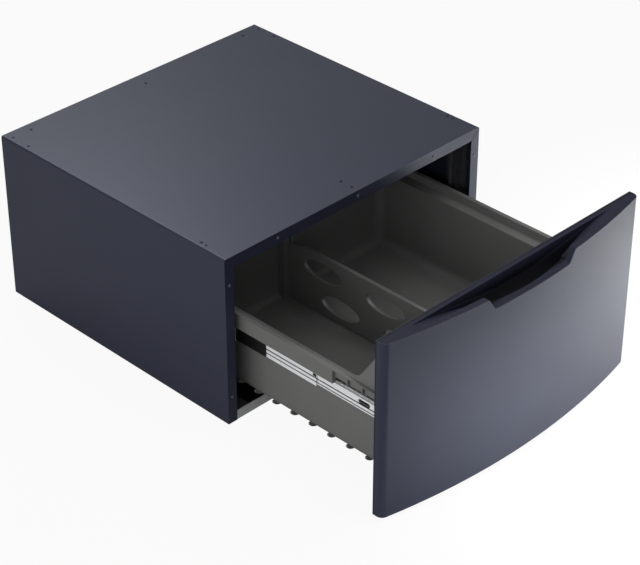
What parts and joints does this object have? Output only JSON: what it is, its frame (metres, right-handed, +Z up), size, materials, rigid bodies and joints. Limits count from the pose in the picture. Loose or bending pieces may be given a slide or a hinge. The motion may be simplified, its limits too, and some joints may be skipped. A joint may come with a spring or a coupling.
{
  "type": "washer pedestal drawer",
  "caption": "Painted steel appliance pedestal with a bowed full-width drawer on ball-bearing slides, a moulded bin with a lift-out divider, and screw feet.",
  "frame": {"origin": "on the floor, under the middle of the whole object with its drawer open", "axes": "+X to the right when facing the front, +Y back, +Z up"},
  "size_m": [0.686, 1.07, 0.384],
  "materials": {
    "navy_paint": "satin powder coat, dark blue-grey",
    "inner_paint": "satin powder coat, darker",
    "galvanised_steel": "galvanised sheet",
    "bright_zinc": "bright zinc plate",
    "screw_steel": "zinc-plated fasteners",
    "painted_screws": "painted screw heads",
    "bin_plastic": "finely grained dark grey moulding",
    "cap_plastic": "satin dark blue-grey moulding",
    "black_nylon": "black nylon",
    "black_rubber": "soft bumper"
  },
  "bodies": {
    "cabinet": {"cabinet_wrap": "navy_paint", "rear_panel": "galvanised_steel", "front_base_bar": "galvanised_steel", "rear_base_bar": "galvanised_steel", "base_rail_left": "galvanised_steel", "base_rail_right": "galvanised_steel", "base_pan": "inner_paint", "front_post_left": "galvanised_steel", "front_post_right": "galvanised_steel", "rear_post_left": "galvanised_steel", "rear_post_right": "galvanised_steel", "deck_brace": "galvanised_steel", "slide_bracket_left": "galvanised_steel", "slide_bracket_right": "galvanised_steel", "slide_fixed_left": "bright_zinc", "slide_fixed_right": "bright_zinc", "bracket_rivets": "screw_steel", "flange_screws": "painted_screws", "deck_screws": "painted_screws", "rear_screws": "screw_steel", "foot_nuts": "bright_zinc"},
    "drawer": {"drawer_bin": "bin_plastic", "front_skin": "navy_paint", "front_pan": "inner_paint", "front_cap": "cap_plastic", "front_trim": "cap_plastic", "front_screws": "screw_steel", "bumpers": "black_rubber", "slide_drawer_left": "bright_zinc", "slide_drawer_right": "bright_zinc", "slide_screws": "screw_steel"},
    "divider": {"divider": "bin_plastic"},
    "middle_left": {"slide_middle_left": "bright_zinc", "slide_stop_left": "black_nylon"},
    "outer_cage_left": {"outer_cage_left": "black_nylon"},
    "inner_cage_left": {"inner_cage_left": "black_nylon"},
    "release_lever_left": {"release_lever_left": "black_nylon"},
    "middle_right": {"slide_middle_right": "bright_zinc", "slide_stop_right": "black_nylon"},
    "outer_cage_right": {"outer_cage_right": "black_nylon"},
    "inner_cage_right": {"inner_cage_right": "black_nylon"},
    "release_lever_right": {"release_lever_right": "black_nylon"},
    "foot_front_left": {"foot_stud_front_left": "bright_zinc", "foot_pad_front_left": "black_nylon"},
    "foot_front_right": {"foot_stud_front_right": "bright_zinc", "foot_pad_front_right": "black_nylon"},
    "foot_rear_left": {"foot_stud_rear_left": "bright_zinc", "foot_pad_rear_left": "black_nylon"},
    "foot_rear_right": {"foot_stud_rear_right": "bright_zinc", "foot_pad_rear_right": "black_nylon"}
  },
  "joints": [
    {"name": "drawer_slide", "type": "slide", "parent": "cabinet", "child": "drawer", "axis": [0, -1, 0], "range_m": [-0.369, 0]},
    {"name": "middle_left_slide", "type": "slide", "parent": "cabinet", "child": "middle_left", "axis": [0, -1, 0], "range_m": [-0.1845, 0]},
    {"name": "outer_cage_left_slide", "type": "slide", "parent": "cabinet", "child": "outer_cage_left", "axis": [0, -1, 0], "range_m": [-0.09225, 0]},
    {"name": "inner_cage_left_slide", "type": "slide", "parent": "cabinet", "child": "inner_cage_left", "axis": [0, -1, 0], "range_m": [-0.27675, 0]},
    {"name": "release_lever_left_hinge", "type": "hinge", "parent": "drawer", "child": "release_lever_left", "pos_m": [-0.2855, -0.39, 0.1861], "axis": [1, 0, 0], "range_deg": [0, 12], "stiffness_Nm_per_rad": 0.02},
    {"name": "middle_right_slide", "type": "slide", "parent": "cabinet", "child": "middle_right", "axis": [0, -1, 0], "range_m": [-0.1845, 0]},
    {"name": "outer_cage_right_slide", "type": "slide", "parent": "cabinet", "child": "outer_cage_right", "axis": [0, -1, 0], "range_m": [-0.09225, 0]},
    {"name": "inner_cage_right_slide", "type": "slide", "parent": "cabinet", "child": "inner_cage_right", "axis": [0, -1, 0], "range_m": [-0.27675, 0]},
    {"name": "release_lever_right_hinge", "type": "hinge", "parent": "drawer", "child": "release_lever_right", "pos_m": [0.2855, -0.39, 0.1861], "axis": [1, 0, 0], "range_deg": [0, 12], "stiffness_Nm_per_rad": 0.02},
    {"name": "divider_lift", "type": "slide", "parent": "drawer", "child": "divider", "axis": [0, 0, 1], "range_m": [0, 0.14]},
    {"name": "foot_front_left_screw", "type": "slide", "parent": "cabinet", "child": "foot_front_left", "axis": [0, 0, -1], "range_m": [0, 0.02]},
    {"name": "foot_front_right_screw", "type": "slide", "parent": "cabinet", "child": "foot_front_right", "axis": [0, 0, -1], "range_m": [0, 0.02]},
    {"name": "foot_rear_left_screw", "type": "slide", "parent": "cabinet", "child": "foot_rear_left", "axis": [0, 0, -1], "range_m": [0, 0.02]},
    {"name": "foot_rear_right_screw", "type": "slide", "parent": "cabinet", "child": "foot_rear_right", "axis": [0, 0, -1], "range_m": [0, 0.02]}
  ],
  "couplings": [
    {"joint": "middle_left_slide", "follows": "drawer_slide", "ratio": 0.5},
    {"joint": "outer_cage_left_slide", "follows": "drawer_slide", "ratio": 0.25},
    {"joint": "inner_cage_left_slide", "follows": "drawer_slide", "ratio": 0.75},
    {"joint": "middle_right_slide", "follows": "drawer_slide", "ratio": 0.5},
    {"joint": "outer_cage_right_slide", "follows": "drawer_slide", "ratio": 0.25},
    {"joint": "inner_cage_right_slide", "follows": "drawer_slide", "ratio": 0.75}
  ]
}
